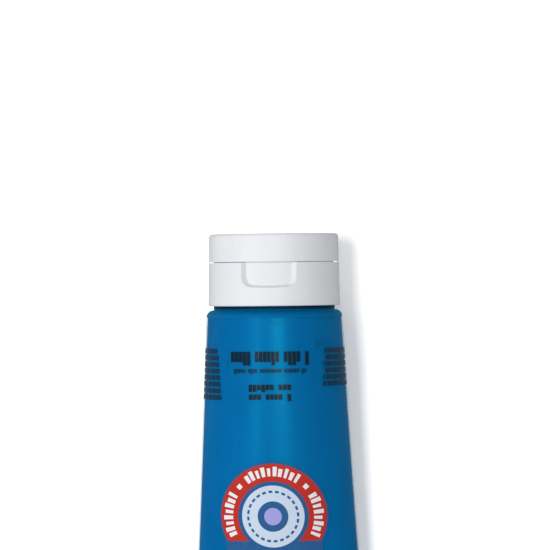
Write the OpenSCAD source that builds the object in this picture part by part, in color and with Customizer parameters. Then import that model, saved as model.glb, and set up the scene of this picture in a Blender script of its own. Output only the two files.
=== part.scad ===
// Squeeze tube of paint with a screw-on flip-top cap, lying on its back.
// The pieces are drawn in a design frame: z runs along the tube towards the cap,
// z = 0 is the end of the sleeve at the head, the front faces -y, the lid's hinge
// is at +y. lay_down() then lays the tube on its back: the front faces +Z, the
// cap points to +Y and the surface that it rests on is Z = 0.

/* [Tube sleeve] */
// Diameter of the sleeve at the head, mm
tube_d = 50; // [40:1:60]
// Length of the sleeve from the head to the crimp, mm
tube_len = 170; // [120:1:220]
// Length of the flat crimped fin, mm
fin_len = 8; // [4:0.5:14]
// Thickness of the crimped fin, mm
fin_t = 1.1; // [0.9:0.1:2]
// Sleeve wall thickness, mm
wall = 0.5; // [0.3:0.05:0.8]
// Share of the widening that grows evenly from the head to the crimp
flare = 0.64; // [0.3:0.02:1]
// Clearance between the paint and the walls around it, mm
fill_gap = 0.3; // [0.15:0.05:0.5]
// Clearance between the head's rim and the sleeve around it, mm
rim_gap = 0.5; // [0.4:0.05:0.8]

/* [Head and neck] */
// Radius of the shoulder's outer corner, mm
shoulder_r = 2.6; // [1:0.1:4]
// Rise of the shoulder from its edge to the neck, mm
shoulder_rise = 2; // [0.5:0.1:5]
// Shoulder wall thickness, mm
shoulder_t = 1.6; // [1:0.1:2.4]
// Height of the guide ring on the shoulder, mm
land_h = 2.1; // [0.5:0.1:4]
// Length of the head's rim inside the sleeve, mm
rim_len = 3; // [1.5:0.5:6]
// Outside diameter of the neck at the thread's root, mm
neck_d = 18; // [14:0.5:22]
// Diameter of the neck's bore, mm
neck_bore_d = 13; // [8:0.5:14]
// Thickness of the foil seal on the neck, mm
foil_t = 0.15; // [0.1:0.05:0.3]

/* [Screw thread] */
// Rise of the thread in one turn, mm
pitch = 3; // [2:0.1:4]
// Height of the thread ribs, mm
rib_h = 1.2; // [0.6:0.1:1.6]
// Turns of thread on the neck
neck_turns = 1.5; // [1:0.25:2.5]
// Turns of thread inside the cap
cap_turns = 1; // [0.5:0.25:2]
// Radial clearance between each thread and the wall that it faces, mm
thread_gap = 0.3; // [0.2:0.05:0.6]

/* [Cap] */
// Diameter of the cap at its open end, mm
cap_d = 48.3; // [38:0.1:58]
// Draft: loss of radius from the open end to the top, mm
cap_draft = 0.45; // [0:0.05:1]
// Height of the cap's base, mm
base_h = 15.8; // [12:0.1:22]
// Height of the flip lid, mm
lid_h = 10.2; // [7:0.1:14]
// Gap between the lid and the base when closed, mm
seam = 0.3; // [0.2:0.05:0.6]
// Gap between the cap and the edge of the shoulder, mm
cap_gap = 1.6; // [0.8:0.1:3]
// Wall thickness of the cap, mm
cap_wall = 1.4; // [1:0.1:2]
// Radius of the lid's top edge, mm
lid_round = 1.2; // [0.5:0.1:3]
// Chamfer on the edges of the seam, mm
seam_edge = 0.12; // [0.05:0.01:0.3]
// Thickness of the sealing washer inside the cap, mm
liner_t = 1; // [0.5:0.1:2]
// Diameter of the pouring hole, mm
orifice_d = 4; // [3:0.5:6]
// Height of the spout above the deck, mm
spout_h = 4.2; // [3:0.1:6]

/* [Thumb recess] */
// Width of the recess under the lid's front edge, mm
recess_w = 20; // [14:0.5:24]
// Height of the recess, mm
recess_h = 8.4; // [6:0.2:10]
// Depth of the recess, mm
recess_depth = 1.8; // [1:0.1:2.4]
// Radius of the recess's lower corners, mm
recess_r = 2.8; // [1:0.1:4]
// Slope of the recess's side walls, mm across for each mm of depth
recess_slope = 1.5; // [0:0.1:1.8]
// Slope of the recess's lower wall, mm down for each mm of depth
recess_slope_low = 0.3; // [0:0.1:0.6]

/* [Hinge] */
// Depth of the hinge pocket at the back of the cap, mm
pocket_depth = 0.87; // [0.6:0.01:1]
// Half the height of the hinge pocket, mm
pocket_h = 5.5; // [4:0.1:6]
// Thickness of the film hinges, mm
film_t = 0.35; // [0.25:0.05:0.5]
// Width of each film hinge, mm
film_w = 2.3; // [1.5:0.1:2.4]
// Half the width of the snap strap, mm
strap_half = 3; // [2:0.1:3.2]

/* [Hidden] */
$fn = 96;

tube_r = tube_d / 2;
// the sleeve's outline: points round a section, steps along the tube
ring_n = 48;
steps = 18;
full_w = PI * tube_r / 2;

// levels along the tube
z_edge = shoulder_r;
neck_r = neck_d / 2;
bore_r = neck_bore_d / 2;
z_root = z_edge + shoulder_rise;
z_base = z_edge + cap_gap;
z_deck = z_base + base_h;
z_under = z_deck - cap_wall;
z_foil = z_under - liner_t;
z_neck = z_foil - foil_t;
z_lid = z_deck + seam;
z_top = z_lid + lid_h;
y_shift = (tube_len + fin_len - z_top) / 2;

// radii of the cap
cap_r = cap_d / 2;
function cap_at(z) = cap_r - cap_draft * (z - z_base) / (z_top - z_base);
collar_in = neck_r + rib_h + thread_gap;
collar_out = collar_in + 1.8;
z_collar = z_root + 2;
skirt_in = cap_at(z_under) - cap_wall + 0.1;
lid_wall = cap_wall + 0.1;
lid_in = cap_at(z_lid) - lid_wall;
ring_out = lid_in - 0.25;
orifice_r = orifice_d / 2;
spout_top = z_deck + spout_h;

// thread: the ribs of neck and cap are half a pitch apart
neck_z0 = z_neck - 2 - neck_turns * pitch;
cap_z0 = neck_z0 - pitch / 2;
rib_root_w = 1.2;
rib_crest_w = 0.6;

// hinge line, at the back of the seam
flat_y = cap_at(z_lid) - pocket_depth;
film_in = seam / 2;
film_out = film_in + film_t;
axis_y = flat_y + 0.3;
axis_z = z_deck + seam / 2;
film_x = strap_half + 0.9 + film_w / 2;

// ---- the squeezed sleeve ----

// half the width of the sleeve at share u of its length: the wall can bend but
// not stretch, so a circle at the head ends as a flat line half a turn wide
function half_w(u) = tube_r + (full_w - tube_r) * (flare * u + (1 - flare) * pow(u, 5));
function around(a, b) = 3 * (a + b) - sqrt((3 * a + b) * (a + 3 * b));
function belly(a, lo, hi, n) = n == 0 ? (lo + hi) / 2
    : around(a, (lo + hi) / 2) < 2 * tube_r ? belly(a, (lo + hi) / 2, hi, n - 1)
    : belly(a, lo, (lo + hi) / 2, n - 1);
function end_r(a) = (PI * tube_r - 2 * a) / (PI - 2);
function half_b(u) = max(belly(half_w(u), 0, tube_r, 24), fin_t / 2);
function half_r(u) = max(end_r(half_w(u)), fin_t / 2);
function thick(u) = (1 - u * u) * half_b(u) + u * u * half_r(u);
// a section is an ellipse near the head and a flat shape with round ends near the crimp
function lobe(x, a, r) = abs(x) < a - r ? r : sqrt(max(0, r * r - pow(abs(x) - a + r, 2)));
function section(u, inset, z) =
    let (a = half_w(u) - inset, b = half_b(u) - inset, r = half_r(u) - inset,
         k = u * u, yc = tube_r - thick(u))
    [for (i = [0:ring_n - 1])
        let (t = 360 * i / ring_n, x = a * cos(t), s = sin(t),
             h = (1 - k) * b * abs(s) + k * (abs(s) < 1e-6 ? 0 : lobe(x, a, r)))
        [x, yc + sign(round(s * 1e6)) * h, z]];
function share(i) = 1 - pow(1 - i / steps, 1.4);
function ring(r, z) = [for (i = [0:ring_n - 1])
    [r * cos(360 * i / ring_n), r * sin(360 * i / ring_n), z]];

// faces of a stack of m rings, the first ring lowest in the list
function band(m, at) = [for (j = [0:m - 2], i = [0:ring_n - 1])
    let (a = at + j * ring_n + i, b = at + j * ring_n + (i + 1) % ring_n)
    [a, b, b + ring_n, a + ring_n]];
function back(faces) = [for (f = faces) [for (i = [len(f) - 1:-1:0]) f[i]]];
function lid_face(at) = [for (i = [0:ring_n - 1]) at + i];
function join(lists) = [for (l = lists, p = l) p];

// share of the length where the hollow of the sleeve ends
u_end = 1 - 2.5 / tube_len;

module sleeve_solid() {
    outer = join([for (i = [0:steps]) section(share(i), 0, -tube_len * share(i))]);
    tail = section(1, 0, -tube_len - fin_len);
    inner = join([for (i = [0:steps]) section(share(i) * u_end, wall, -tube_len * share(i) * u_end)]);
    m = steps + 2;
    polyhedron(
        points = concat(outer, tail, inner),
        faces = concat(
            band(m, 0),
            [lid_face((m - 1) * ring_n)],
            back(band(steps + 1, m * ring_n)),
            back([lid_face(m * ring_n + steps * ring_n)]),
            [for (i = [0:ring_n - 1]) let (k = (i + 1) % ring_n)
                [i, m * ring_n + i, m * ring_n + k, k]]),
        convexity = 6);
}

module tube_sleeve() color([0.78, 0.88, 0.94, 0.45]) sleeve_solid();

module paint_fill() color([0.02, 0.42, 0.6]) {
    deep = wall + fill_gap;
    u1 = (rim_len + 0.2) / tube_len;
    far = u_end - 1 / tube_len;
    body = join([for (i = [steps:-1:0]) let (u = u1 + (far - u1) * share(i))
        section(u, deep, -tube_len * u)]);
    plug = tube_r - wall - rim_gap - 1.2;
    // points of the inside of the head, as radius and height
    head = [[plug - fill_gap, -rim_len - 0.1], [plug - fill_gap, -0.5],
            [tube_r - shoulder_r - 0.9, z_edge - shoulder_t],
            [bore_r - fill_gap, under_cone(bore_r) - fill_gap * 2],
            [bore_r - fill_gap, z_neck]];
    rings = join([for (h = head) ring(h[0], h[1])]);
    m = steps + 1 + len(head);
    polyhedron(
        points = concat(body, rings),
        faces = concat([lid_face(0)], back(band(m, 0)), back([lid_face((m - 1) * ring_n)])),
        convexity = 4);
}

// ---- head, seal and washer ----

function cone_at(r) = z_edge + shoulder_rise * (tube_r - shoulder_r - r) / (tube_r - shoulder_r - neck_r);
function under_cone(r) = cone_at(r) - shoulder_t;

// helical rib: from its root radius r0, sunk into the wall, to its crest r1
module rib(r0, r1, z0, turns) {
    n = ceil(turns * 30);
    wide = rib_root_w / 2;
    thin = rib_crest_w / 2;
    pts = [for (i = [0:n])
        let (t = 360 * turns * i / n, z = z0 + pitch * turns * i / n,
             k = min(1, 0.12 + 5 * i / n, 0.12 + 5 * (n - i) / n),
             rc = r0 + (r1 - r0) * k,
             p = [[r0, -wide], [rc, -thin], [rc, thin], [r0, wide]])
        for (q = p) [q[0] * cos(t), q[0] * sin(t), z + q[1]]];
    s = r1 > r0 ? 1 : -1;
    f = concat(
        [[0, 1, 2, 3]],
        [for (i = [0:n - 1], j = [0:3]) let (a = 4 * i + j, b = 4 * i + (j + 1) % 4)
            [a, a + 4, b + 4, b]],
        [[4 * n + 3, 4 * n + 2, 4 * n + 1, 4 * n]]);
    polyhedron(points = pts, faces = s > 0 ? back(f) : f, convexity = 8);
}

module tube_head() color([0.62, 0.8, 0.88, 0.75]) {
    corner = tube_r - shoulder_r;
    plug_out = tube_r - wall - rim_gap;
    plug_in = plug_out - 1.2;
    rotate_extrude() difference() {
        union() {
            polygon([[bore_r, 0], [corner, 0], [corner, z_edge], [neck_r, z_root],
                     [neck_r, z_neck - 0.5], [neck_r - 0.5, z_neck], [bore_r, z_neck]]);
            translate([corner, 0]) intersection() {
                circle(r = shoulder_r);
                square([shoulder_r, shoulder_r]);
            }
            translate([plug_in, -rim_len]) square([plug_out - plug_in, rim_len + 0.5]);
            // guide ring, which stands inside the cap's skirt
            translate([corner - 1.8, z_edge]) polygon([
                [0, -0.4], [1.6, -0.4], [1.6, land_h - 0.2], [1.4, land_h],
                [0.2, land_h], [0, land_h - 0.2]]);
        }
        polygon([[0, -rim_len - 1], [plug_in, -rim_len - 1], [plug_in, -0.4],
                 [corner - 0.8, under_cone(corner - 0.8)], [bore_r, under_cone(bore_r)],
                 [0, under_cone(bore_r)]]);
    }
    rib(neck_r - 0.4, neck_r + rib_h, neck_z0, neck_turns);
}

module neck_seal() color([0.78, 0.79, 0.8])
    translate([0, 0, z_neck]) cylinder(r = neck_r - 0.5, h = foil_t);

module cap_liner() color([0.93, 0.92, 0.88])
    translate([0, 0, z_foil]) difference() {
        cylinder(r = collar_in - 0.2, h = liner_t);
        translate([0, 0, -1]) cylinder(r = orifice_r + 1.5, h = liner_t + 2);
    }

// ---- cap ----

// the pocket at the back that leaves the hinge room
module pocket() {
    translate([-10, flat_y, axis_z - pocket_h]) cube([20, 5, 2 * pocket_h]);
}

module recess_slab(height, grow, lower) {
    r = recess_r + max(0, grow) / 2;
    half = recess_w / 2 + grow;
    low = z_deck - recess_h - lower;
    translate([0, -height, 0]) rotate([-90, 0, 0]) linear_extrude(height = 0.02)
        mirror([0, 1]) polygon(concat(
            [[half, z_deck + 3], [-half, z_deck + 3]],
            [for (k = [0:6]) [-half + r - r * cos(15 * k), low + r - r * sin(15 * k)]],
            [for (k = [6:-1:0]) [half - r + r * cos(15 * k), low + r - r * sin(15 * k)]]));
}

// The recess widens towards the outside, so that its side walls slope.
module recess() {
    edge = sqrt(pow(cap_at(z_deck), 2) - pow(recess_w / 2, 2));
    deep = edge - 2.2;
    high = cap_r + 1.2;
    difference() {
        hull() {
            recess_slab(deep, -2.2 * recess_slope, -2.2 * recess_slope_low);
            recess_slab(high, (high - edge) * recess_slope, (high - edge) * recess_slope_low);
        }
        cylinder(r = cap_at(z_deck) - recess_depth, h = z_top + 5);
    }
}

// thickening on the inside of the skirt
module pad(half, side, z0, depth) {
    intersection() {
        difference() {
            translate([0, 0, z0]) cylinder(r = skirt_in + 0.5, h = z_under + 0.5 - z0);
            translate([0, 0, z0 - 1]) cylinder(r = skirt_in - depth, h = z_under + 3 - z0);
        }
        translate([-half, side > 0 ? 0 : -cap_r - 1, z0]) cube([2 * half, cap_r + 1, z_under + 0.5 - z0]);
    }
}

module cap_base() color([0.94, 0.95, 0.96]) {
    difference() {
        union() {
            rotate_extrude() polygon([
                [cap_at(z_base) - 0.3, z_base], [cap_at(z_base), z_base + 0.3],
                [cap_at(z_deck), z_deck - seam_edge], [cap_at(z_deck) - seam_edge, z_deck],
                [ring_out - 0.2, z_deck], [ring_out - 0.2, z_deck + 0.8],
                [ring_out, z_deck + 1.1], [ring_out - 0.4, z_deck + 1.6],
                [ring_out - 1.1, z_deck + 1.6], [ring_out - 1.1, z_deck],
                [orifice_r + 3.2, z_deck], [orifice_r + 2.8, z_deck + 0.4],
                [orifice_r + 2.3, spout_top - 0.3], [orifice_r + 2, spout_top],
                [orifice_r + 0.4, spout_top], [orifice_r, spout_top - 0.4],
                [orifice_r, z_under + 1.6], [orifice_r + 1.6, z_under],
                [collar_in, z_under], [collar_in, z_collar + 0.4],
                [collar_in + 0.4, z_collar], [collar_out, z_collar], [collar_out, z_under],
                [skirt_in, z_under], [cap_at(z_base) - cap_wall, z_base]]);
            pad(recess_w / 2 + 1.8, -1, z_deck - recess_h - 1.6, recess_depth + 0.2);
            pad(8, 1, axis_z - pocket_h - 1, 1);
        }
        pocket();
        recess();
    }
    rib(collar_in + 0.4, collar_in - rib_h + 0.1, cap_z0, cap_turns);
}

module cap_lid() color([0.96, 0.965, 0.97]) {
    r0 = cap_at(z_lid);
    r1 = cap_at(z_top - lid_round);
    zi = z_top - cap_wall;
    difference() {
        rotate_extrude() union() {
            polygon([
                [0, spout_top - 1.5], [orifice_r - 0.6, spout_top - 1.5],
                [orifice_r - 0.3, spout_top - 1.2], [orifice_r - 0.1, spout_top],
                [orifice_r + 0.3, zi], [orifice_r + 3, zi], [orifice_r + 3, spout_top - 1],
                [orifice_r + 3.3, spout_top - 1.3], [orifice_r + 3.9, spout_top - 0.8],
                [orifice_r + 3.9, zi], [lid_in - 1.3, zi], [lid_in, zi - 1.3],
                [lid_in, z_lid], [r0 - seam_edge, z_lid], [r0, z_lid + seam_edge],
                [r1, z_top - lid_round], [r1 - lid_round, z_top - lid_round],
                [r1 - lid_round, z_top], [0, z_top]]);
            translate([r1 - lid_round, z_top - lid_round]) circle(r = lid_round);
        }
        pocket();
    }
}

// ---- hinge ----

// a profile in (y, z) about the hinge line, drawn out along x
module across(x, w) {
    translate([x, axis_y, axis_z]) rotate([90, 0, 90]) linear_extrude(height = w, center = true)
        children();
}

module film(side) {
    across(side * film_x, film_w) union() {
        difference() {
            circle(r = film_out);
            circle(r = film_in);
            translate([-1, -1]) square([1, 2]);
        }
        translate([flat_y - axis_y, film_in]) square([axis_y - flat_y, film_t]);
        translate([flat_y - axis_y, -film_out]) square([axis_y - flat_y, film_t]);
    }
}

module hinge_film_left() color([0.9, 0.91, 0.92]) film(-1);

module hinge_film_right() color([0.9, 0.91, 0.92]) film(1);

module hinge_snap_strap() color([0.88, 0.89, 0.9]) {
    foot = flat_y - axis_y;
    across(0, 2 * strap_half) polygon([
        [foot, -3.9], [0.15, -3.9], [0.45, -3.4], [0.45, -0.2], [0.32, 0], [0.45, 0.2],
        [0.45, 3.4], [0.15, 3.9], [foot, 3.9], [foot, 2.8], [0.02, 2.8],
        [0.02, -2.8], [foot, -2.8]]);
}

// ---- laying the tube on its back ----

module lay_down() {
    translate([0, y_shift, tube_r]) rotate([-90, 0, 0]) children();
}

lay_down() {
    tube_sleeve();
    tube_head();
    neck_seal();
    paint_fill();
    cap_liner();
    cap_base();
    cap_lid();
    hinge_film_left();
    hinge_film_right();
    hinge_snap_strap();
}
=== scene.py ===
"""Looks for a squeeze tube of blue paint with a white flip-top cap.

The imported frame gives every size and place. This script adds the clear sleeve, the paint
behind it, the printed marks, the hinge webs and every finish, then a small studio.
"""

import logging
import math
from dataclasses import dataclass
from enum import Enum
from typing import Callable, Optional, Sequence, Union

import bmesh
import bpy
from mathutils import Matrix, Vector


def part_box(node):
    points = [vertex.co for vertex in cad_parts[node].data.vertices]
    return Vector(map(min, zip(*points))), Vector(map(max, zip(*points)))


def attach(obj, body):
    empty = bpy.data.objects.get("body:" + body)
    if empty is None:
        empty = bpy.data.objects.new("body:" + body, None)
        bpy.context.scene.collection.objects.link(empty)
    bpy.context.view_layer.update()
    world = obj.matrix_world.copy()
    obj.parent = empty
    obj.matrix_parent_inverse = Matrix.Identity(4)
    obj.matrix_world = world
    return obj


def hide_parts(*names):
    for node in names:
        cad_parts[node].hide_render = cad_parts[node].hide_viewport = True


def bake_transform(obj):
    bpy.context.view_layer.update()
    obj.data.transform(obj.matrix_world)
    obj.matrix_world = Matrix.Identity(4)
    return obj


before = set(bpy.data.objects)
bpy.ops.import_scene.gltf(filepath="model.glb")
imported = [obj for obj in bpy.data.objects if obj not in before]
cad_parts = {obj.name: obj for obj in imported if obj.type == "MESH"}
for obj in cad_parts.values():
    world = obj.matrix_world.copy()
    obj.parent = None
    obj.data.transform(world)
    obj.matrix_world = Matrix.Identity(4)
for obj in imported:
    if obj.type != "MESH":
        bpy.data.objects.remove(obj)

LOG = logging.getLogger("paint_tube")
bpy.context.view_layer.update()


class Body(str, Enum):
    """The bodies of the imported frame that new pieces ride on."""

    TUBE = "tube"
    CAP = "cap"
    LID = "lid"


# -------- shader maths


def operation(kind: str, turned: bool = False) -> Callable[..., "Signal"]:
    """Makes an operator that adds one Math node.

    Args:
        kind: The node's operation.
        turned: True where the signal is the second of the two values.

    Returns:
        The operator.
    """
    def apply(signal: "Signal", other: "Value" = 0.0) -> "Signal":
        """Works on a signal and another value."""
        pair = (other, signal) if turned else (signal, other)
        return signal.shop.add("ShaderNodeMath", {"operation": kind}, dict(enumerate(pair)))
    return apply


class Signal:
    """A value socket of a material, with the arithmetic of plain numbers."""

    __add__ = __radd__ = operation("ADD")
    __sub__ = operation("SUBTRACT")
    __rsub__ = operation("SUBTRACT", turned=True)
    __mul__ = __rmul__ = operation("MULTIPLY")
    __pow__ = operation("POWER")
    __abs__ = operation("ABSOLUTE")
    at_least = operation("MAXIMUM")

    def __init__(self, shop: "ShaderShop", socket: bpy.types.NodeSocket) -> None:
        """Wraps an output socket of a shop's material."""
        self.shop = shop
        self.socket = socket

    def step(self, low: float, high: float) -> "Signal":
        """A soft step.

        Args:
            low: Where the step leaves 0.
            high: Where it reaches 1.

        Returns:
            The signal mapped smoothly to 0 to 1.
        """
        return self.shop.add(
            "ShaderNodeMapRange", {"interpolation_type": "SMOOTHSTEP"},
            {"Value": self, "From Min": low, "From Max": high})


Value = Union[float, Signal]
Colour = tuple[float, float, float]


def srgb(red: int, green: int, blue: int) -> Colour:
    """A colour given in 8-bit display values.

    Args:
        red, green, blue: Its channels, 0 to 255.

    Returns:
        The linear colour.
    """
    def linear(v: float) -> float:
        """One channel in linear light."""
        v /= 255
        return v / 12.92 if v <= 0.04045 else ((v + 0.055) / 1.055) ** 2.4
    return (linear(red), linear(green), linear(blue))


class ShaderShop:
    """Builds one material's node tree round a Principled shader."""

    def __init__(self, name: str) -> None:
        """Starts an empty material.

        Args:
            name: The material's name.
        """
        self.material = bpy.data.materials.new(name)
        self.material.use_nodes = True
        self.tree = self.material.node_tree
        self.shader = self.tree.nodes["Principled BSDF"]
        self._place: Optional[dict[str, Signal]] = None

    def add(self, kind: str, settings: dict, inputs: dict, output: Union[int, str] = 0) -> Signal:
        """Adds a node.

        Args:
            kind: The node's type.
            settings: Attributes of the node, set first.
            inputs: Values or signals for its sockets, by name or number.
            output: Which of its outputs to hand back.

        Returns:
            The chosen output.
        """
        node = self.tree.nodes.new(kind)
        for key, value in settings.items():
            setattr(node, key, value)
        for key, value in inputs.items():
            self._feed(node.inputs[key], value)
        return Signal(self, node.outputs[output])

    def _feed(self, socket: bpy.types.NodeSocket, value: object) -> None:
        """Links or sets one input.

        Args:
            socket: The input.
            value: A signal, a number, or a list of numbers.
        """
        if isinstance(value, Signal):
            self.tree.links.new(value.socket, socket)
        elif isinstance(value, (tuple, list)) and len(value) == 3 and socket.type == "RGBA":
            socket.default_value = (*value, 1.0)
        else:
            socket.default_value = value

    def place(self) -> dict[str, Signal]:
        """Gives object coordinates.

        Returns:
            The point, and its x, y and z.
        """
        if self._place is None:
            point = self.add("ShaderNodeTexCoord", {}, {}, "Object")
            self._place = {"point": point}
            for axis in "XYZ":
                self._place[axis.lower()] = self.add(
                    "ShaderNodeSeparateXYZ", {}, {0: point}, axis)
        return self._place

    def scaled(self, scale: Sequence[float]) -> Signal:
        """Object coordinates stretched for a pattern.

        Args:
            scale: Scale on each axis, per metre.

        Returns:
            The stretched coordinates.
        """
        return self.add("ShaderNodeMapping", {}, {
            "Vector": self.place()["point"], "Scale": tuple(scale)})

    def noise(self, scale: Sequence[float], detail: float = 3.0, rough: float = 0.5,
              warp: float = 0.0) -> Signal:
        """Smooth noise, 0 to 1 about 0.5.

        Args:
            scale: Cells per metre on each axis.
            detail: Octaves.
            rough: Strength of each further octave.
            warp: Distortion.

        Returns:
            The noise value.
        """
        return self.add("ShaderNodeTexNoise", {}, {
            "Vector": self.scaled(scale), "Scale": 1.0, "Detail": detail,
            "Roughness": rough, "Distortion": warp})

    def blend(self, share: Value, first: Union[Colour, Signal],
              second: Union[Colour, Signal]) -> Signal:
        """Mixes two colours.

        Args:
            share: How much of the second colour.
            first: The first colour.
            second: The second colour.

        Returns:
            The mixed colour.
        """
        factor, colour_a, colour_b, result = 0, 6, 7, 2
        return self.add("ShaderNodeMix", {"data_type": "RGBA"},
                        {factor: share, colour_a: first, colour_b: second}, result)

    def bump(self, height: Signal, distance: float, strength: float = 1.0,
             base: Optional[Signal] = None) -> None:
        """Feeds a height pattern to the shader's normal.

        Args:
            height: The pattern, 0 to 1.
            distance: Its depth in metres.
            strength: How much of it is used.
            base: The normal that it is laid on, if not the surface's own.
        """
        inputs = {"Height": height, "Distance": distance, "Strength": strength}
        if base is not None:
            inputs["Normal"] = base
        normal = self.add("ShaderNodeBump", {}, inputs, "Normal")
        self.feed({"Normal": normal})

    def feed(self, inputs: dict) -> None:
        """Sets or links the shader's own sockets, given by name."""
        for key, value in inputs.items():
            self._feed(self.shader.inputs[key], value)


# -------- finishes


@dataclass(frozen=True)
class WetPaint:
    """Thick blue paint pressed against the clear wall."""

    body: Colour = srgb(0, 106, 173)
    deep_and_painted_shade: Colour = srgb(0, 82, 140)
    bright: Colour = srgb(0, 118, 187)
    head_y: float = 0.07375
    pockets: tuple[float, float] = (0.030, 0.012)

    def make(self) -> bpy.types.Material:
        """Builds the material.

        Returns:
            The material.
        """
        shop = ShaderShop("wet_paint")
        at = shop.place()
        streaks = shop.noise((110, 7, 110), 2.0, 0.5)
        clouds = shop.noise((45, 22, 45), 3.0, 0.55, 0.4)
        pocket = shop.noise((130, 85, 130), 1.0, 0.5, 0.9)
        far, near = self.pockets
        near_head = at["y"].step(self.head_y - far, self.head_y - near)
        colour = shop.blend(streaks.step(0.4, 0.7) * 0.35, self.body, self.bright)
        colour = shop.blend(clouds.step(0.5, 0.78) * 0.3, colour, self.deep_and_painted_shade)
        colour = shop.blend(pocket.step(0.6, 0.7) * near_head * 0.5, colour, self.deep_and_painted_shade)
        shop.feed({
            "Base Color": colour,
            "Roughness": 0.42 + clouds * 0.12,
            "IOR": 1.3,
            "Specular IOR Level": 0.1,
            "Sheen Weight": 0.3,
            "Sheen Roughness": 0.25,
            "Sheen Tint": (0.0, 0.42, 0.5, 1.0),
        })
        shop.bump(clouds, 0.0003, 0.3)
        return shop.material


@dataclass(frozen=True)
class ClearFilm:
    """Clear satin plastic sleeve, frosted where it is welded.

    The wall shows as a thin tinted gloss over the paint, so it adds no haze of its own.
    """

    tint: Colour = (0.0, 0.72, 0.95)
    frost: Colour = srgb(150, 190, 205)
    weld_y: float = -0.09625
    weld_fade: float = 0.0015
    gloss: float = 0.10
    rim_gloss: float = 0.2

    def make(self) -> bpy.types.Material:
        """Builds the material.

        Returns:
            The material.
        """
        shop = ShaderShop("clear_film")
        weld = 1 - shop.place()["y"].step(self.weld_y, self.weld_y + self.weld_fade)
        sparkle = shop.noise((900, 900, 900), 2.0, 0.6)
        edge = shop.add("ShaderNodeFresnel", {}, {"IOR": 1.4})
        ripples = shop.noise((60, 10, 60), 2.0, 0.5)
        shop.feed({
            "Base Color": shop.blend(weld, self.tint, self.frost),
            "Metallic": 1.0 - weld,
            "Roughness": 0.30 + ripples * 0.06,
            "Alpha": (self.gloss + edge * self.rim_gloss).at_least(
                weld * (0.38 + sparkle * 0.18)),
            "Coat Weight": 0.12,
            "Coat Roughness": 0.06,
        })
        shop.bump(ripples, 0.0004, 0.25)
        return shop.material


@dataclass(frozen=True)
class NaturalPlastic:
    """Thin natural plastic of the head, coloured by the paint behind it.

    The heights are measured along the tube from the shoulder's edge: the painted shade that
    deepens up to it, the painted shadow that fills the gap above it, and the clear neck.
    """

    soaked: Colour = srgb(0, 108, 168)
    rim: Colour = srgb(2, 118, 170)
    # Painted shadow colour: used for the shade near the shoulder and for the dark gap under the
    # cap.
    deep_and_painted_shade: Colour = srgb(0, 48, 76)
    plain: Colour = srgb(186, 204, 212)
    edge_y: float = 0.07635
    shade: tuple[float, float] = (-0.0032, 0.0)
    gap: tuple[float, float] = (0.0001, 0.0008)
    neck: tuple[float, float] = (0.0022, 0.0034)

    def make(self) -> bpy.types.Material:
        """Builds the material.

        Returns:
            The material.
        """
        shop = ShaderShop("natural_plastic")
        shade, gap, neck = (
            shop.place()["y"].step(self.edge_y + low, self.edge_y + high)
            for low, high in (self.shade, self.gap, self.neck))
        mottled = shop.noise((160, 160, 160), 3.0, 0.5)
        wall = shop.blend(mottled.step(0.4, 0.7) * 0.3, self.soaked, self.rim)
        # Painted shade: the wall darkens towards the shoulder's edge, and the gap under the cap is
        # painted dark as shadow.
        wall = shop.blend(shade * 0.42, wall, self.deep_and_painted_shade)
        wall = shop.blend(gap, wall, self.deep_and_painted_shade)
        shop.feed({
            "Base Color": shop.blend(neck, wall, self.plain),
            "Roughness": 0.4 + mottled * 0.1,
            "IOR": 1.4,
            "Specular IOR Level": 0.04,
            "Sheen Weight": 0.45,
            "Sheen Roughness": 0.3,
            "Sheen Tint": (0.0, 0.55, 0.65, 1.0),
        })
        shop.bump(mottled, 0.0001, 0.3)
        return shop.material


@dataclass(frozen=True)
class MouldedWhite:
    """White satin plastic with the fine skin that a steel mould leaves.

    A painted glow, a faint emission in place of light scattered through the thin rims, lights the
    faces inside the seam.
    """

    name: str
    colour: Colour = srgb(231, 232, 235)
    shade: Colour = srgb(224, 226, 230)
    roughness: float = 0.4
    edge: float = 0.00025
    painted_glow: Colour = srgb(66, 68, 72)
    speck: Colour = srgb(190, 192, 192)
    seam_y: float = 0.0939
    seam_reach: tuple[float, float] = (0.0003, 0.0005)
    axis_z: float = 0.025
    rim_inside: tuple[float, float] = (0.0205, 0.0212)
    rim_outside: tuple[float, float] = (0.02395, 0.0241)

    def make(self) -> bpy.types.Material:
        """Builds the material.

        Returns:
            The material.
        """
        shop = ShaderShop(self.name)
        skin = shop.noise((2600, 2600, 2600), 2.0, 0.6)
        flow = shop.noise((60, 24, 60), 3.0, 0.5, 0.6)
        specks = shop.noise((1300, 1300, 1300), 1.0, 0.5)
        colour = shop.blend(flow.step(0.4, 0.7) * 0.6, self.colour, self.shade)
        colour = shop.blend(specks.step(0.76, 0.8) * 0.25, colour, self.speck)
        at = shop.place()
        depth = at["z"] - self.axis_z
        out = (at["x"] * at["x"] + depth * depth) ** 0.5
        # Painted glow: the thin rim faces inside the seam emit a faint light that stands in for
        # light scattered through them.
        rim = out.step(*self.rim_inside) * (1 - out.step(*self.rim_outside))
        seam = 1 - abs(at["y"] - self.seam_y).step(*self.seam_reach)
        shop.feed({
            "Base Color": colour,
            "Emission Color": shop.blend(rim * seam, srgb(0, 0, 0), self.painted_glow),
            "Emission Strength": 1.0,
            "Roughness": self.roughness + (skin - 0.5) * 0.14 + (flow - 0.5) * 0.1,
            "IOR": 1.45,
            "Specular IOR Level": 0.35,
        })
        rounded = shop.add("ShaderNodeBevel", {"samples": 6}, {"Radius": self.edge})
        shop.bump(skin, 0.00002, 0.35, rounded)
        return shop.material


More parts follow.
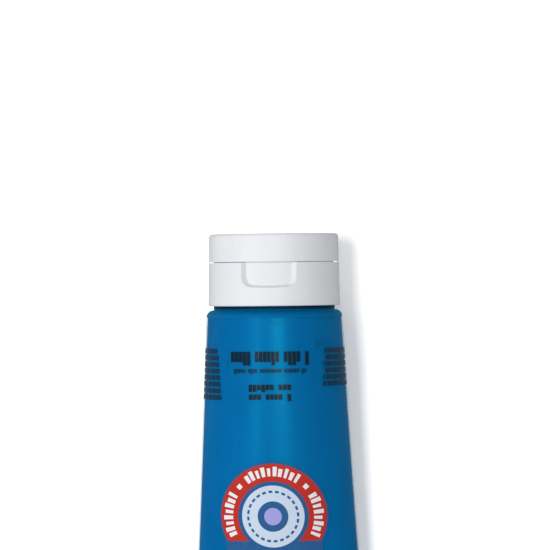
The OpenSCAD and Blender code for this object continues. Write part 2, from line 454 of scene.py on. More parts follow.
@dataclass(frozen=True)
class PrintedInk:
    """Screen-printed ink on the sleeve: slightly raised, slightly uneven, worn thin in places."""

    name: str
    colour: Colour
    worn: Colour
    roughness: float = 0.34
    cover: float = 1.0

    def make(self) -> bpy.types.Material:
        """Builds the material.

        Returns:
            The material.
        """
        shop = ShaderShop(self.name)
        mesh = shop.noise((2100, 2100, 2100), 1.0, 0.5)
        wear = shop.noise((420, 420, 420), 3.0, 0.6)
        shop.feed({
            "Base Color": shop.blend(wear.step(0.52, 0.74) * 0.55, self.colour, self.worn),
            "Roughness": self.roughness + (mesh - 0.5) * 0.2,
            "Specular IOR Level": 0.15,
            "Coat Weight": 0.15,
            "Coat Roughness": 0.2,
        })
        if self.cover < 1:
            shop.feed({"Alpha": self.cover - wear.step(0.45, 0.8) * 0.12})
        shop.bump(mesh, 0.00001, 0.3)
        return shop.material


@dataclass(frozen=True)
class SealFoil:
    """Bright foil of the peel-off seal."""

    bright: Colour = (0.82, 0.83, 0.85)
    dull: Colour = (0.7, 0.71, 0.73)

    def make(self) -> bpy.types.Material:
        """Builds the material.

        Returns:
            The material.
        """
        shop = ShaderShop("seal_foil")
        crinkle = shop.noise((700, 700, 700), 3.0, 0.6, 0.5)
        shop.feed({
            "Base Color": shop.blend(crinkle.step(0.4, 0.7), self.bright, self.dull),
            "Metallic": 1.0,
            "Roughness": 0.18 + crinkle * 0.2,
        })
        shop.bump(crinkle, 0.00008, 0.6)
        return shop.material


@dataclass(frozen=True)
class LinerFoam:
    """Fine closed-cell foam of the washer."""

    wall: Colour = srgb(238, 236, 226)
    hollow: Colour = srgb(216, 212, 200)

    def make(self) -> bpy.types.Material:
        """Builds the material.

        Returns:
            The material.
        """
        shop = ShaderShop("liner_foam")
        cells = shop.add("ShaderNodeTexVoronoi", {}, {
            "Vector": shop.scaled((3200, 3200, 3200)), "Scale": 1.0})
        shop.feed({
            "Base Color": shop.blend(cells.step(0.2, 0.8), self.wall, self.hollow),
            "Roughness": 0.85,
        })
        shop.bump(cells, 0.00006, 0.7)
        return shop.material


# -------- bench work


class Bench:
    """One mesh on the bench, shaped with edit-mode tools."""

    def __init__(self, name: str) -> None:
        """Takes the newest primitive and names it.

        Args:
            name: The piece's name.
        """
        self.obj = bpy.context.active_object
        self.obj.name = name
        self.obj.data.name = name
        bpy.ops.object.transform_apply(location=True, rotation=True, scale=True)

    @staticmethod
    def clear() -> None:
        """Leaves edit mode and deselects everything."""
        if bpy.context.mode != "OBJECT":
            bpy.ops.object.mode_set(mode="OBJECT")
        bpy.ops.object.select_all(action="DESELECT")

    @classmethod
    def circle(cls, name: str, radius: float, centre: Sequence[float], sides: int,
               turn: Sequence[float] = (0, 0, 0)) -> "Bench":
        """Starts from a circle.

        Args:
            name: The piece's name.
            radius: Its radius.
            centre: Its centre.
            sides: Its number of points.
            turn: Rotation of the flat circle.

        Returns:
            The bench with the new mesh.
        """
        cls.clear()
        bpy.ops.mesh.primitive_circle_add(
            vertices=sides, radius=radius, fill_type="NOTHING", location=centre, rotation=turn)
        return cls(name)

    @classmethod
    def grid(cls, name: str, size: Sequence[float], centre: Sequence[float],
             cells: Sequence[int]) -> "Bench":
        """Starts from a flat grid.

        Args:
            name: The piece's name.
            size: Width and length.
            centre: Its centre.
            cells: Number of cells each way.

        Returns:
            The bench with the new mesh.
        """
        cls.clear()
        bpy.ops.mesh.primitive_grid_add(
            x_subdivisions=cells[0], y_subdivisions=cells[1], size=1.0, location=centre)
        bpy.context.active_object.scale = (size[0], size[1], 1.0)
        return cls(name)

    def take(self) -> None:
        """Selects the piece alone and makes it the active one."""
        self.clear()
        bpy.context.view_layer.objects.active = self.obj
        self.obj.select_set(True)

    def edit(self) -> "Bench":
        """Opens the mesh in edit mode with everything selected.

        Returns:
            The bench.
        """
        self.take()
        bpy.ops.object.mode_set(mode="EDIT")
        bpy.ops.mesh.select_mode(type="VERT")
        bpy.ops.mesh.select_all(action="SELECT")
        return self

    def done(self) -> "Bench":
        """Goes back to object mode."""
        bpy.ops.object.mode_set(mode="OBJECT")
        return self

    def pick(self, test: Callable[[Vector], bool]) -> "Bench":
        """Selects points by their place.

        Args:
            test: Says for each point whether it is wanted.

        Returns:
            The bench.
        """
        mesh = bmesh.from_edit_mesh(self.obj.data)
        bpy.ops.mesh.select_all(action="DESELECT")
        for vert in mesh.verts:
            vert.select_set(test(vert.co))
        mesh.select_flush_mode()
        bmesh.update_edit_mesh(self.obj.data)
        return self

    def pick_faces(self, test: Callable[[Vector, Vector], bool]) -> "Bench":
        """Selects faces by their middle and normal.

        Args:
            test: Says for each face whether it is wanted.

        Returns:
            The bench.
        """
        bpy.ops.mesh.select_mode(type="FACE")
        mesh = bmesh.from_edit_mesh(self.obj.data)
        for face in mesh.faces:
            face.select_set(test(face.calc_center_median(), face.normal))
        bmesh.update_edit_mesh(self.obj.data)
        return self

    def punch(self, test: Callable[[Vector], bool]) -> "Bench":
        """Deletes faces of the open mesh by their middle, and closes it.

        Args:
            test: Says for each face whether it goes.

        Returns:
            The bench.
        """
        self.pick_faces(lambda co, n: test(co))
        bpy.ops.mesh.delete(type="FACE")
        return self.done()

    def extrude(self, step: Sequence[float]) -> "Bench":
        """Extrudes the selected edges by a step."""
        bpy.ops.mesh.extrude_edges_move(TRANSFORM_OT_translate={"value": tuple(step)})
        return self

    def resize(self, scale: Sequence[float], centre: Sequence[float]) -> "Bench":
        """Scales the selection about a centre."""
        bpy.ops.transform.resize(value=tuple(scale), center_override=tuple(centre))
        return self

    def move(self, step: Sequence[float]) -> "Bench":
        """Moves the selection by a step."""
        bpy.ops.transform.translate(value=tuple(step))
        return self

    def modifier(self, kind: str, **settings: object) -> "Bench":
        """Adds a modifier and applies it.

        Args:
            kind: The modifier's type.
            **settings: Its settings.

        Returns:
            The bench.
        """
        self.take()
        made = self.obj.modifiers.new(kind.title(), kind)
        for key, value in settings.items():
            setattr(made, key, value)
        bpy.ops.object.modifier_apply(modifier=made.name)
        return self

    def outward(self) -> "Bench":
        """Merges doubles and turns the faces outwards.

        Returns:
            The bench.
        """
        self.edit()
        bpy.ops.mesh.remove_doubles(threshold=1e-6)
        bpy.ops.mesh.normals_make_consistent(inside=False)
        return self.done()

    def smooth(self, degrees: float) -> "Bench":
        """Shades smooth across the flatter edges.

        Args:
            degrees: The sharpest angle that is still smooth.

        Returns:
            The bench.
        """
        self.take()
        bpy.ops.object.shade_smooth_by_angle(angle=math.radians(degrees))
        return self


@dataclass(frozen=True)
class Ring:
    """One section of a sleeve-like piece, in metres."""

    y: float
    half_width: float
    half_height: float
    centre_z: float


def loft(name: str, rings: Sequence[Ring]) -> Bench:
    """Makes a closed piece by extruding a circle through sections.

    Args:
        name: The piece's name.
        rings: The sections in order.

    Returns:
        The bench with the closed mesh.
    """
    first = rings[0]
    sides, centre = 96, (0, first.y, first.centre_z)
    bench = Bench.circle(name, first.half_width, centre, sides, (math.pi / 2, 0, 0)).edit()
    bench.resize((1, 1, first.half_height / first.half_width), centre)
    bpy.ops.mesh.edge_face_add()
    bench.pick(lambda co: abs(co.y - first.y) < 1e-7)
    for old, new in zip(rings, rings[1:]):
        bench.extrude((0, new.y - old.y, 0))
        bench.resize((new.half_width / old.half_width, 1, new.half_height / old.half_height),
                     (0, new.y, old.centre_z))
        bench.move((0, 0, new.centre_z - old.centre_z))
    bpy.ops.mesh.edge_face_add()
    return bench.done()


def dress(obj: bpy.types.Object, material: bpy.types.Material) -> None:
    """Gives an object one material.

    Args:
        obj: The object.
        material: Its material.
    """
    obj.data.materials.clear()
    obj.data.materials.append(material)


def fit(bench: Bench, material: bpy.types.Material, body: Body, slot: str,
        *replaced: str) -> bpy.types.Object:
    """Dresses a finished piece and fits it to the frame.

    Args:
        bench: The bench that holds the piece.
        material: Its material.
        body: The body that it rides.
        slot: The record's material slot; not used.
        *replaced: CAD nodes that it stands for.

    Returns:
        The piece.
    """
    piece = bench.obj
    dress(piece, material)
    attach(piece, body.value)
    if replaced:
        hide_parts(*replaced)
    LOG.info("%s: %d faces on %s", piece.name, len(piece.data.polygons), body.value)
    return piece


# -------- tube


@dataclass
class SleeveShape:
    """The squeezed sleeve: a circle at the head that flattens to the crimp."""

    radius: float = 0.025
    head_y: float = 0.07375
    length: float = 0.170
    fin_length: float = 0.008
    fin_thick: float = 0.0011
    flare: float = 0.64
    thinnest: float = 0.00012
    crowding: float = 1.35

    def half_width(self, u: float) -> float:
        """Half the width at share u of the length."""
        full = math.pi / 2 * self.radius
        return self.radius + (full - self.radius) * (self.flare * u + (1 - self.flare) * u ** 5)

    def half_height(self, u: float) -> float:
        """Half the thickness at a share of the length, found by halving.

        The way round an ellipse stays that of the round head, and towards the crimp the section
        turns into a flat one.

        Args:
            u: Share of the length, 0 at the head.

        Returns:
            The half thickness.
        """
        a = self.half_width(u)
        low, high = 0.0, self.radius
        for _ in range(40):
            mid = (low + high) / 2
            round_trip = 3 * (a + mid) - math.sqrt((3 * a + mid) * (a + 3 * mid))
            low, high = (mid, high) if round_trip < 2 * self.radius else (low, mid)
        least = self.fin_thick / 2
        end = max((math.pi * self.radius - 2 * a) / (math.pi - 2), least)
        return (1 - u * u) * max(low, least) + u * u * end

    def ring(self, u: float, inset: float) -> Ring:
        """The section at share u, set in from the outside.

        Args:
            u: Share of the length, 0 at the head.
            inset: How far inside the outer face it lies.

        Returns:
            The section.
        """
        height = self.half_height(u)
        return Ring(self.head_y - self.length * u, self.half_width(u) - inset,
                    max(height - inset, self.thinnest), height)

    def shares(self, count: int, start: float = 0.0, end: float = 1.0) -> list[float]:
        """Shares of the length, closer together towards the crimp.

        Args:
            count: Number of steps.
            start: First share.
            end: Last share.

        Returns:
            The shares in order.
        """
        return [start + (end - start) * (1 - (1 - i / count) ** self.crowding)
                for i in range(count + 1)]


@dataclass
class Tube:
    """Sleeve, paint and head.

    The sleeve lies a skin's depth inside the CAD shape. The paint presses a little into its wall,
    so that no gap shows between them. A rib has its depth at four shares of its width.
    """

    shape: SleeveShape
    skin: float = 0.00003
    wall: float = 0.0005
    steps: int = 44
    lip: float = 0.0001
    lip_share: float = 0.0006
    weld: float = 0.0035
    press: float = 0.00006
    paint_stop: float = 0.0045
    paint_round: float = 0.0006
    ribs: int = 7
    rib: tuple[tuple[float, float], ...] = ((0.0, 0.62), (0.22, 0.62), (0.4, 1.0), (0.78, 1.0))

    def build(self) -> bpy.types.Object:
        """Builds and dresses the tube.

        Returns:
            The sleeve, which the print is laid on.
        """
        sleeve = self.sleeve()
        self.paint()
        for node, finish in (("tube_head", NaturalPlastic()), ("neck_seal", SealFoil())):
            dress(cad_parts[node], finish.make())
        return sleeve

    def sleeve(self) -> bpy.types.Object:
        """The clear sleeve with its crimped fin.

        Returns:
            The sleeve.
        """
        shape = self.shape
        inner_end = 1 - self.weld / shape.length
        inner = [shape.ring(u, self.skin + self.wall)
                 for u in reversed(shape.shares(self.steps, 0.0, inner_end))]
        top = shape.ring(0.0, self.skin + self.lip)
        lip = Ring(shape.head_y, top.half_width, top.half_height, top.centre_z)
        outer = [shape.ring(u, self.skin) for u in shape.shares(self.steps, self.lip_share)]
        rings = inner + [lip] + outer + self.fin(outer[-1])
        bench = loft("sleeve_wall", rings).outward().smooth(40)
        return fit(bench, ClearFilm(weld_y=shape.head_y - shape.length).make(),
                   Body.TUBE, "sleeve_clear", "tube_sleeve")

    def fin(self, last: Ring) -> list[Ring]:
        """Sections of the crimped fin, with a rib for each tooth of the crimping jaw.

        Args:
            last: The sleeve's last section.

        Returns:
            The fin's sections.
        """
        width = self.shape.fin_length / (self.ribs + 0.5)
        end = last.y - self.shape.fin_length
        rings = [Ring(last.y - width * (i + 0.25) - width * share, last.half_width,
                      last.half_height * depth, last.centre_z)
                 for i in range(self.ribs) for share, depth in self.rib]
        rings.append(Ring(end + 0.0002, last.half_width, last.half_height * 0.8, last.centre_z))
        rings.append(Ring(end, last.half_width - self.lip, last.half_height * 0.5, last.centre_z))
        return rings

    def paint(self) -> None:
        """The paint, which lies against the inside of the sleeve."""
        shape = self.shape
        inset = self.skin + self.wall - self.press
        end = 1 - self.paint_stop / shape.length
        rings = [shape.ring(u, inset) for u in reversed(shape.shares(self.steps, 0.0, end))]
        tail, top = rings[0], rings[-1]
        start = Ring(tail.y - self.paint_round, tail.half_width * 0.985,
                     tail.half_height * 0.5, tail.centre_z)
        rings = [start] + rings + [
            Ring(top.y + 0.00001, top.half_width * 0.98, top.half_height * 0.98, top.centre_z),
            Ring(top.y + 0.00002, top.half_width * 0.5, top.half_height * 0.5, top.centre_z)]
        bench = loft("paint_body", rings).outward().smooth(40)
        fit(bench, WetPaint(head_y=shape.head_y).make(), Body.TUBE, "paint_blue", "paint_fill")


# -------- print


class Side(Enum):
    """Which side of the sleeve a print is laid on, and where that side faces."""

    FRONT = (0, 0, 1)
    LEFT = (-1, 0, 0)
    RIGHT = (1, 0, 0)


@dataclass
class Label:
    """The printed marks: plain bars and a plain roundel, with no words.

    A print starts flat above the sleeve and is laid down on it, one lift higher for each layer.
    """

    sleeve: bpy.types.Object
    badge_y: float = 0.0014
    above: float = 0.06
    lift: float = 0.00001
    thick: float = 0.00001
    spacing: float = 0.0008
    field: float = 0.0200
    band: tuple[float, float] = (0.0193, 0.0129)
    band_cut: float = 0.0091
    disc: float = 0.0114
    ring: float = 0.0056
    dot: float = 0.0032
    panel_length: float = 0.066
    panel_radius: float = 0.0176
    row_pitch: float = 0.0024
    row_width: float = 0.0200
    row_top: float = 0.0625
    row_z: float = 0.0300

    def build(self) -> None:
        """Builds and dresses every mark."""
        dark = PrintedInk("dark_ink", srgb(3, 32, 52), srgb(2, 44, 72)).make()
        grey = PrintedInk("grey_ink", srgb(3, 52, 82), srgb(2, 66, 104)).make()
        red = PrintedInk("red_ink", srgb(190, 46, 32), srgb(164, 44, 40)).make()
        pale = PrintedInk("pale_ink", srgb(200, 214, 232), srgb(184, 202, 224)).make()
        white = PrintedInk("white_ink", srgb(232, 232, 236), srgb(220, 222, 230)).make()
        lilac = PrintedInk("lilac_ink", srgb(160, 160, 220), srgb(146, 150, 214)).make()
        blue = PrintedInk("badge_blue_ink", srgb(42, 96, 152), srgb(36, 92, 150), cover=0.9).make()
        for name, size, y, blocks, ink, seed in (
                ("title_bars", (0.0286, 0.0050), 0.0590, 19, dark, 11),
                ("small_bars", (0.0266, 0.0018), 0.0543, 30, grey, 23),
                ("name_bars_upper", (0.0156, 0.0026), 0.0482, 10, dark, 37),
                ("name_bars_lower", (0.0156, 0.0026), 0.0447, 10, dark, 41)):
            self.bars(name, size, (0, y), blocks, ink, seed)
        for side, rows in ((Side.LEFT, 8), (Side.RIGHT, 6)):
            self.side_rows(side, rows, grey)
        self.panel(blue)
        self.sheet("badge_field", self.flat_disc("badge_field", self.field), blue, 1)
        self.sheet("badge_arc", self.arc(), red, 2)
        for name, radius, ink, layer in (("badge_disc", self.disc, pale, 2),
                                         ("badge_ring", self.ring, blue, 3),
                                         ("badge_dot", self.dot, lilac, 4)):
            self.sheet(name, self.flat_disc(name, radius), ink, layer)
        self.arc_marks(white)
        self.disc_marks(blue)

    def arc(self) -> Bench:
        """The band of the badge, cut off square at its two ends.

        Returns:
            The bench with the flat mesh.
        """
        bench = self.flat_disc("badge_arc", *self.band).edit()
        bpy.ops.mesh.bisect(plane_co=(0, self.badge_y - self.band_cut, self.above),
                            plane_no=(0, 1, 0), clear_inner=True)
        return bench.done()

    def flat_disc(self, name: str, outer: float, inner: float = 0.0) -> Bench:
        """A flat disc or band, ready to lay on the sleeve.

        Args:
            name: The piece's name.
            outer: Outer radius.
            inner: Inner radius, 0 for a full disc.

        Returns:
            The bench with the flat mesh.
        """
        centre = (0, self.badge_y, self.above)
        bench = Bench.circle(name, outer, centre, 120).edit()
        steps = max(3, round((outer - inner) / self.spacing))
        radius = outer
        for i in range(steps):
            new = outer + (inner - outer) * (i + 1) / steps
            if new < 1e-6:
                bpy.ops.mesh.edge_face_add()
                break
            bench.extrude((0, 0, 0)).resize((new / radius, new / radius, 1), centre)
            radius = new
        return bench.done()

    def sheet(self, name: str, bench: Bench, ink: bpy.types.Material, layer: int,
              side: Side = Side.FRONT) -> None:
        """Lays a flat mesh on the sleeve and gives it the ink's thickness.

        Args:
            name: The piece's name; not used.
            bench: The bench with the flat mesh.
            ink: Its material.
            layer: Its place in the stack of inks, from 0.
            side: Which side it is laid on.
        """
        front = side is Side.FRONT
        bench.modifier(
            "SHRINKWRAP", target=self.sleeve, wrap_method="PROJECT",
            use_project_x=not front, use_project_y=False, use_project_z=front,
            use_negative_direction=side is not Side.LEFT,
            use_positive_direction=side is Side.LEFT, wrap_mode="ABOVE_SURFACE",
            offset=self.lift * layer)
        bench.edit()
        bpy.ops.mesh.normals_make_consistent(inside=False)
        bench.done()
        faced = sum((f.normal for f in bench.obj.data.polygons), Vector())
        if faced.dot(Vector(side.value)) < 0:
            bench.edit()
            bpy.ops.mesh.flip_normals()
            bench.done()
        bench.modifier("SOLIDIFY", thickness=self.thick, offset=1.0)
        bench.smooth(50)
        fit(bench, ink, Body.TUBE, "sleeve_clear")

    def bars(self, name: str, size: Sequence[float], at: Sequence[float], count: int,
             ink: bpy.types.Material, seed: int) -> None:
        """A line of plain blocks that stands where a line of print was.

        Args:
            name: The piece's name.
            size: Width and height of the line.
            at: Its centre along x and y.
            count: Number of blocks and spaces.
            ink: Its material.
            seed: Start of the block pattern.
        """
        across, high = 6, 8
        columns = count * across
        bench = Bench.grid(name, size, (*at, self.above), (columns, high)).edit()
        blocks: list[tuple[int, int]] = []
        state, run = seed, 0
        for _ in range(count):
            state = (state * 1103515245 + 12345) % 2 ** 31
            roll = state // 2 ** 16 % 12
            run += 1
            gap = run > 3 and roll < 4
            run = 0 if gap else run
            blocks.append((0 if gap else 5 - (roll == 2), 0 if roll in (1, 5, 8) else 2))
        cell = (size[0] / columns, size[1] / high)

        def bare(place: Vector) -> bool:
            """True where no ink is printed."""
            column = min(columns - 1, int((place.x - at[0] + size[0] / 2) / cell[0]))
            row = int((place.y - at[1] + size[1] / 2) / cell[1])
            width, short = blocks[column // across]
            return column % across >= width or row < short

        self.sheet(name, bench.punch(bare), ink, 1)

    def side_rows(self, side: Side, rows: int, ink: bpy.types.Material) -> None:
        """A block of short rows round the side of the tube.

        Args:
            side: Left or right.
            rows: How many rows.
            ink: Its material.
        """
        sign = side.value[0]
        pitch, cells, waves, beside = self.row_pitch, 4, 5200, 0.05
        name = f"side_rows_{side.name.lower()}"
        bench = Bench.grid(name, (self.row_width, rows * pitch), (0, 0, 0), (40, rows * cells))

        def bare(place: Vector) -> bool:
            """True between the rows and between the blocks of a row."""
            row = place.y / pitch + rows
            return (int(row * cells + 1e-6) % cells == 0
                    or math.sin(place.x * waves + 3 * int(row)) > 0.82)

        bench.edit().punch(bare)
        bench.obj.data.transform(
            Matrix.Translation((beside * sign, self.row_top - rows * pitch / 2, self.row_z))
            @ Matrix.Rotation(math.pi / 2 * sign, 4, "Y"))
        self.sheet(name, bench, ink, 1, side)

    def panel(self, ink: bpy.types.Material) -> None:
        """The plain panel under the badge, with a round lower end.

        Args:
            ink: Its material.
        """
        length, radius = self.panel_length, self.panel_radius
        bench = Bench.grid("badge_panel", (2 * radius, length),
                           (0, self.badge_y - length / 2, self.above), (44, 70)).edit()
        low = self.badge_y - length + radius
        bench.punch(lambda co: co.y < low and math.hypot(co.x, co.y - low) > radius)
        self.sheet("badge_panel", bench, ink, 0)

    def strokes(self, name: str, band: Sequence[float], cuts: int,
                keep: Callable[[Vector], bool], ink: bpy.types.Material) -> None:
        """Strokes that are left of a flat band round the badge's middle.

        Args:
            name: The piece's name.
            band: Outer and inner radius.
            cuts: How finely its faces are divided.
            keep: Says for a place from the middle whether a stroke is printed there.
            ink: Their material.
        """
        middle = Vector((0, self.badge_y, self.above))
        bench = self.flat_disc(name, *band).edit()
        bpy.ops.mesh.subdivide(number_cuts=cuts)
        self.sheet(name, bench.punch(lambda co: not keep(co - middle)), ink, 3)

    def arc_marks(self, ink: bpy.types.Material) -> None:
        """White strokes round the red band, in place of words.

        Args:
            ink: Their material.
        """
        groups, dots, pitch = ((-206, -150), (-126, -54), (-30, 26)), (-138, -42), 7.4
        foot, head, taller = 0.0147, 0.0177, 0.0006

        def keep(place: Vector) -> bool:
            """True where a stroke is printed."""
            angle = -math.degrees(math.atan2(place.y, place.x))
            angle = angle if angle < 40 else angle - 360
            radius = place.length
            for low, high in groups:
                if low < angle < high:
                    mark = (angle - low) / pitch
                    return mark % 1 < 0.62 and foot < radius < head + taller * (int(mark) % 2)
            return any(abs(angle - dot) < 3.2 and 0.0153 < radius < 0.0171 for dot in dots)

        self.strokes("badge_strokes", (0.0186, 0.0142), 2, keep, ink)

    def disc_marks(self, ink: bpy.types.Material) -> None:
        """Small strokes round the pale disc.

        Args:
            ink: Their material.
        """
        def keep(place: Vector) -> bool:
            """True where a stroke is printed."""
            angle = math.degrees(math.atan2(place.y, place.x)) % 360
            return angle % 15 < 8.5 and 0.0086 < place.length < 0.0095

        self.strokes("disc_strokes", (0.0104, 0.0070), 1, keep, ink)


# -------- cap


@dataclass
class Cap:
    """Cap base, lid and washer, which keep their CAD shapes."""

    base: MouldedWhite = MouldedWhite("base_white")
    lid: MouldedWhite = MouldedWhite("lid_white", srgb(232, 233, 236))
    washer: LinerFoam = LinerFoam()

    def build(self) -> None:
        """Dresses the cap's CAD nodes."""
        for node, finish in (("cap_base", self.base), ("cap_lid", self.lid),
                             ("cap_liner", self.washer)):
            dress(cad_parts[node], finish.make())
            LOG.info("%s: CAD node, dressed", node)


@dataclass
class Hinge:
    """The thin webs that join base and lid: two bent films and a snap strap between them.

    The strap's plate lies a little under the hinge line, and it stands on two feet.
    """

    axis_y: float = 0.0939
    axis_z: float = 0.0016955
    flat_z: float = 0.0019955
    film_x: float = 0.00505
    film_width: float = 0.0023
    film_radius: float = 0.000325
    film_thick: float = 0.00035
    film_reach: float = 0.00025
    film_cells: int = 6
    strap_size: tuple[float, float] = (0.006, 0.0078)
    strap_drop: float = 0.00023
    strap_raise: float = 0.00012
    strap_thick: float = 0.0004
    strap_reach: float = 0.0006
    foot_y: float = 0.0031
    foot_high: float = 0.00022

    def build(self) -> None:
        """Builds and dresses the three webs."""
        material = MouldedWhite("hinge_white", srgb(228, 231, 234), srgb(216, 221, 227), 0.42,
                                painted_glow=srgb(0, 0, 0)).make()
        for side, centre in (("left", -self.film_x), ("right", self.film_x)):
            self.film(f"film_web_{side}", f"hinge_film_{side}", centre, material)
        self.strap(material)

    def film(self, name: str, node: str, centre: float, material: bpy.types.Material) -> None:
        """One film hinge: a half ring with short legs.

        Args:
            name: The piece's name.
            node: The CAD node that it stands for.
            centre: Its middle along x.
            material: Its finish.
        """
        width = self.film_width
        start = (centre - width / 2, self.axis_y, self.axis_z)
        bench = Bench.circle(name, self.film_radius, start, 32, (0, math.pi / 2, 0)).edit()
        bench.pick(lambda co: co.z > self.axis_z + 1e-6)
        bpy.ops.mesh.delete(type="VERT")
        bench.pick(lambda co: abs(co.z - self.axis_z) < 2e-6)
        bench.extrude((0, 0, self.flat_z - self.axis_z))
        bpy.ops.mesh.select_all(action="SELECT")
        for _ in range(self.film_cells):
            bench.extrude((width / self.film_cells, 0, 0))
        bench.done().outward()
        bench.modifier("SOLIDIFY", thickness=self.film_thick, offset=0.0)
        bench.outward().smooth(40)
        self.join(bench, material, node)

    def strap(self, material: bpy.types.Material) -> None:
        """The snap strap: a thin plate on two feet, thinner across its middle.

        Args:
            material: Its finish.
        """
        centre = (0, self.axis_y, self.axis_z - self.strap_drop)
        bench = Bench.grid("snap_web", self.strap_size, centre, (12, 26)).edit()
        bench.pick(lambda co: abs(co.y - self.axis_y) > self.foot_y)
        bench.move((0, 0, self.strap_raise)).done()
        bench.modifier("SOLIDIFY", thickness=self.strap_thick, offset=0.0)
        bench.edit()
        bench.pick_faces(lambda co, n: n.z > 0.7 and abs(co.y - self.axis_y) > self.foot_y)
        bpy.ops.mesh.extrude_region_move(
            TRANSFORM_OT_translate={"value": (0, 0, self.foot_high)})
        bench.done().outward().smooth(35)
        self.join(bench, material, "hinge_snap_strap")

    def join(self, bench: Bench, material: bpy.types.Material, node: str) -> None:
        """Fits a web between base and lid.

        Args:
            bench: The bench with the web.
            material: Its finish.
            node: The CAD node that it stands for.
        """
        piece = bench.obj
        dress(piece, material)
        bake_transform(piece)
        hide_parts(node)
        LOG.info("%s: %d faces across the hinge", piece.name, len(piece.data.polygons))


# -------- studio


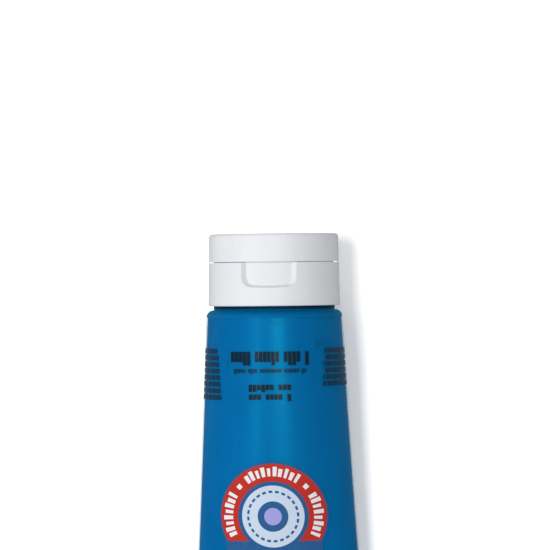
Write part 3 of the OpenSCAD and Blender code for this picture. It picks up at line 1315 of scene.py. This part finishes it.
@dataclass
class Studio:
    """Pale floor, soft light and camera.

    The camera looks at the focus, turned by roll about the tube and by tilt about its own line of
    sight. Fill, mirror and backdrop are the surround's strength as a light, in reflections and as
    seen. The bay has its half width, where it starts and where the table top ends.
    """

    focus: Vector
    roll: float = 5.0
    tilt: float = -0.655
    distance: float = 1.3
    field: float = 0.2022
    sensor: float = 36.0
    fill: float = 0.51
    mirror: float = 0.3
    backdrop: float = 1.3
    bay: tuple[float, float, float] = (0.0214, 0.083, 0.1046)

    def build(self) -> None:
        """Builds the studio."""
        floor = self.floor()
        self.world()
        form = self.softbox("form_light", (-40, 1.1), (0.5, 0.9), 4.5, floor, False)
        form.visible_glossy = False
        self.softbox("top_light", (9, 1.25), (0.34, 0.8), 3.1)
        self.softbox("edge_strip", (-24, 1.2), (0.012, 0.9), 1.3, floor, False)
        self.softbox("table_light", (-12, 1.25), (0.3, 0.6), 14.0, floor, True)
        self.softbox("table_fill", (0, 1.6), (1.0, 1.0), 8.0, floor, True).data.use_shadow = False
        self.camera()
        bpy.context.scene.view_settings.view_transform = "Standard"

    def floor(self) -> bpy.types.Object:
        """A pale table top that ends at the cap, with a bay for the lid to swing down.

        Returns:
            The floor.
        """
        Bench.clear()
        bpy.ops.mesh.primitive_plane_add(size=4.0, location=(0, 0, -0.00005))
        bench = Bench("floor").edit()
        half, near, far = self.bay
        across, along = (1, 0, 0), (0, 1, 0)
        for point, normal, end in (((-half, 0, 0), across, False), ((half, 0, 0), across, False),
                                   ((0, near, 0), along, False), ((0, far, 0), along, True)):
            bpy.ops.mesh.select_all(action="SELECT")
            bpy.ops.mesh.bisect(plane_co=point, plane_no=normal, clear_outer=end)
        floor = bench.punch(lambda co: abs(co.x) < half and co.y > near).obj
        shop = ShaderShop("floor_pale")
        dust = shop.noise((900, 900, 900), 2.0, 0.5)
        shop.feed({"Base Color": shop.blend(dust, (0.79, 0.79, 0.79), (0.81, 0.81, 0.81)),
                   "Roughness": 0.9, "Specular IOR Level": 0.0})
        dress(floor, shop.material)
        floor.visible_diffuse = floor.visible_glossy = False
        return floor

    def world(self) -> None:
        """A plain white surround: bright as a backdrop, dim as a light and in reflections."""
        world = bpy.data.worlds.new("surround")
        bpy.context.scene.world = world
        world.use_nodes = True
        tree = world.node_tree
        back = tree.nodes["Background"]
        seen = tree.nodes.new("ShaderNodeLightPath")
        glossy, camera = (tree.nodes.new("ShaderNodeMapRange") for _ in range(2))
        for span, ray, own in ((glossy, "Is Glossy Ray", self.mirror),
                               (camera, "Is Camera Ray", self.backdrop)):
            tree.links.new(seen.outputs[ray], span.inputs["Value"])
            span.inputs["To Max"].default_value = own
        glossy.inputs["To Min"].default_value = self.fill
        tree.links.new(glossy.outputs[0], camera.inputs["To Min"])
        tree.links.new(camera.outputs[0], back.inputs["Strength"])
        back.inputs["Color"].default_value = (0.975, 0.988, 1.0, 1)

    def softbox(self, name: str, place: tuple[float, float], size: tuple[float, float],
                power: float, floor: Optional[bpy.types.Object] = None,
                only_floor: bool = False) -> bpy.types.Object:
        """One rectangular soft light, leaning to one side over the object.

        Args:
            name: The light's name.
            place: Its angle from overhead in degrees, negative to the left, and its distance.
            size: Its width and its length along the tube.
            power: Its power in watts.
            floor: The floor, where the light treats it apart.
            only_floor: True to light only the floor, False to leave the floor out.

        Returns:
            The light.
        """
        data = bpy.data.lights.new(name, "AREA")
        data.shape = "RECTANGLE"
        data.size, data.size_y, data.energy = *size, power
        lamp = bpy.data.objects.new(name, data)
        bpy.context.scene.collection.objects.link(lamp)
        lean = math.radians(place[0])
        lamp.location = self.focus + Vector((math.sin(lean), 0, math.cos(lean))) * place[1]
        lamp.rotation_euler = (0, lean, 0)
        if floor is not None:
            group = bpy.data.collections.new(f"{name}_group")
            group.objects.link(floor)
            lamp.light_linking.receiver_collection = group
            group.collection_objects[0].light_linking.link_state = (
                "INCLUDE" if only_floor else "EXCLUDE")
        return lamp

    def camera(self) -> None:
        """A long lens straight above, rolled a little about the tube."""
        data = bpy.data.cameras.new("camera")
        data.sensor_width = self.sensor
        data.lens = self.sensor * self.distance / self.field
        data.clip_end = 20.0
        camera = bpy.data.objects.new("camera", data)
        bpy.context.scene.collection.objects.link(camera)
        lean, turn = math.radians(self.roll), math.radians(self.tilt)
        back = Vector((math.sin(lean), 0, math.cos(lean)))
        across, up = Vector((math.cos(lean), 0, -math.sin(lean))), Vector((0, 1, 0))
        right = across * math.cos(turn) + up * math.sin(turn)
        top = up * math.cos(turn) - across * math.sin(turn)
        basis = Matrix((right, top, back)).transposed().to_4x4()
        camera.matrix_world = Matrix.Translation(self.focus + back * self.distance) @ basis
        bpy.context.scene.camera = camera


def main() -> None:
    """Builds the tube, its print, cap, hinge and studio."""
    logging.basicConfig(level=logging.INFO, format="%(message)s")
    low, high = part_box("tube_sleeve")
    shape = SleeveShape(radius=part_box("tube_head")[1].x, head_y=high.y)
    shape.length = high.y - low.y - shape.fin_length
    sleeve = Tube(shape).build()
    Label(sleeve).build()
    Cap().build()
    Hinge().build()
    cap_top, below_top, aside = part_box("cap_lid")[1].y, 0.0151, 0.0004
    Studio(Vector((aside, cap_top - below_top, shape.radius))).build()


if __name__ == "__main__":
    main()
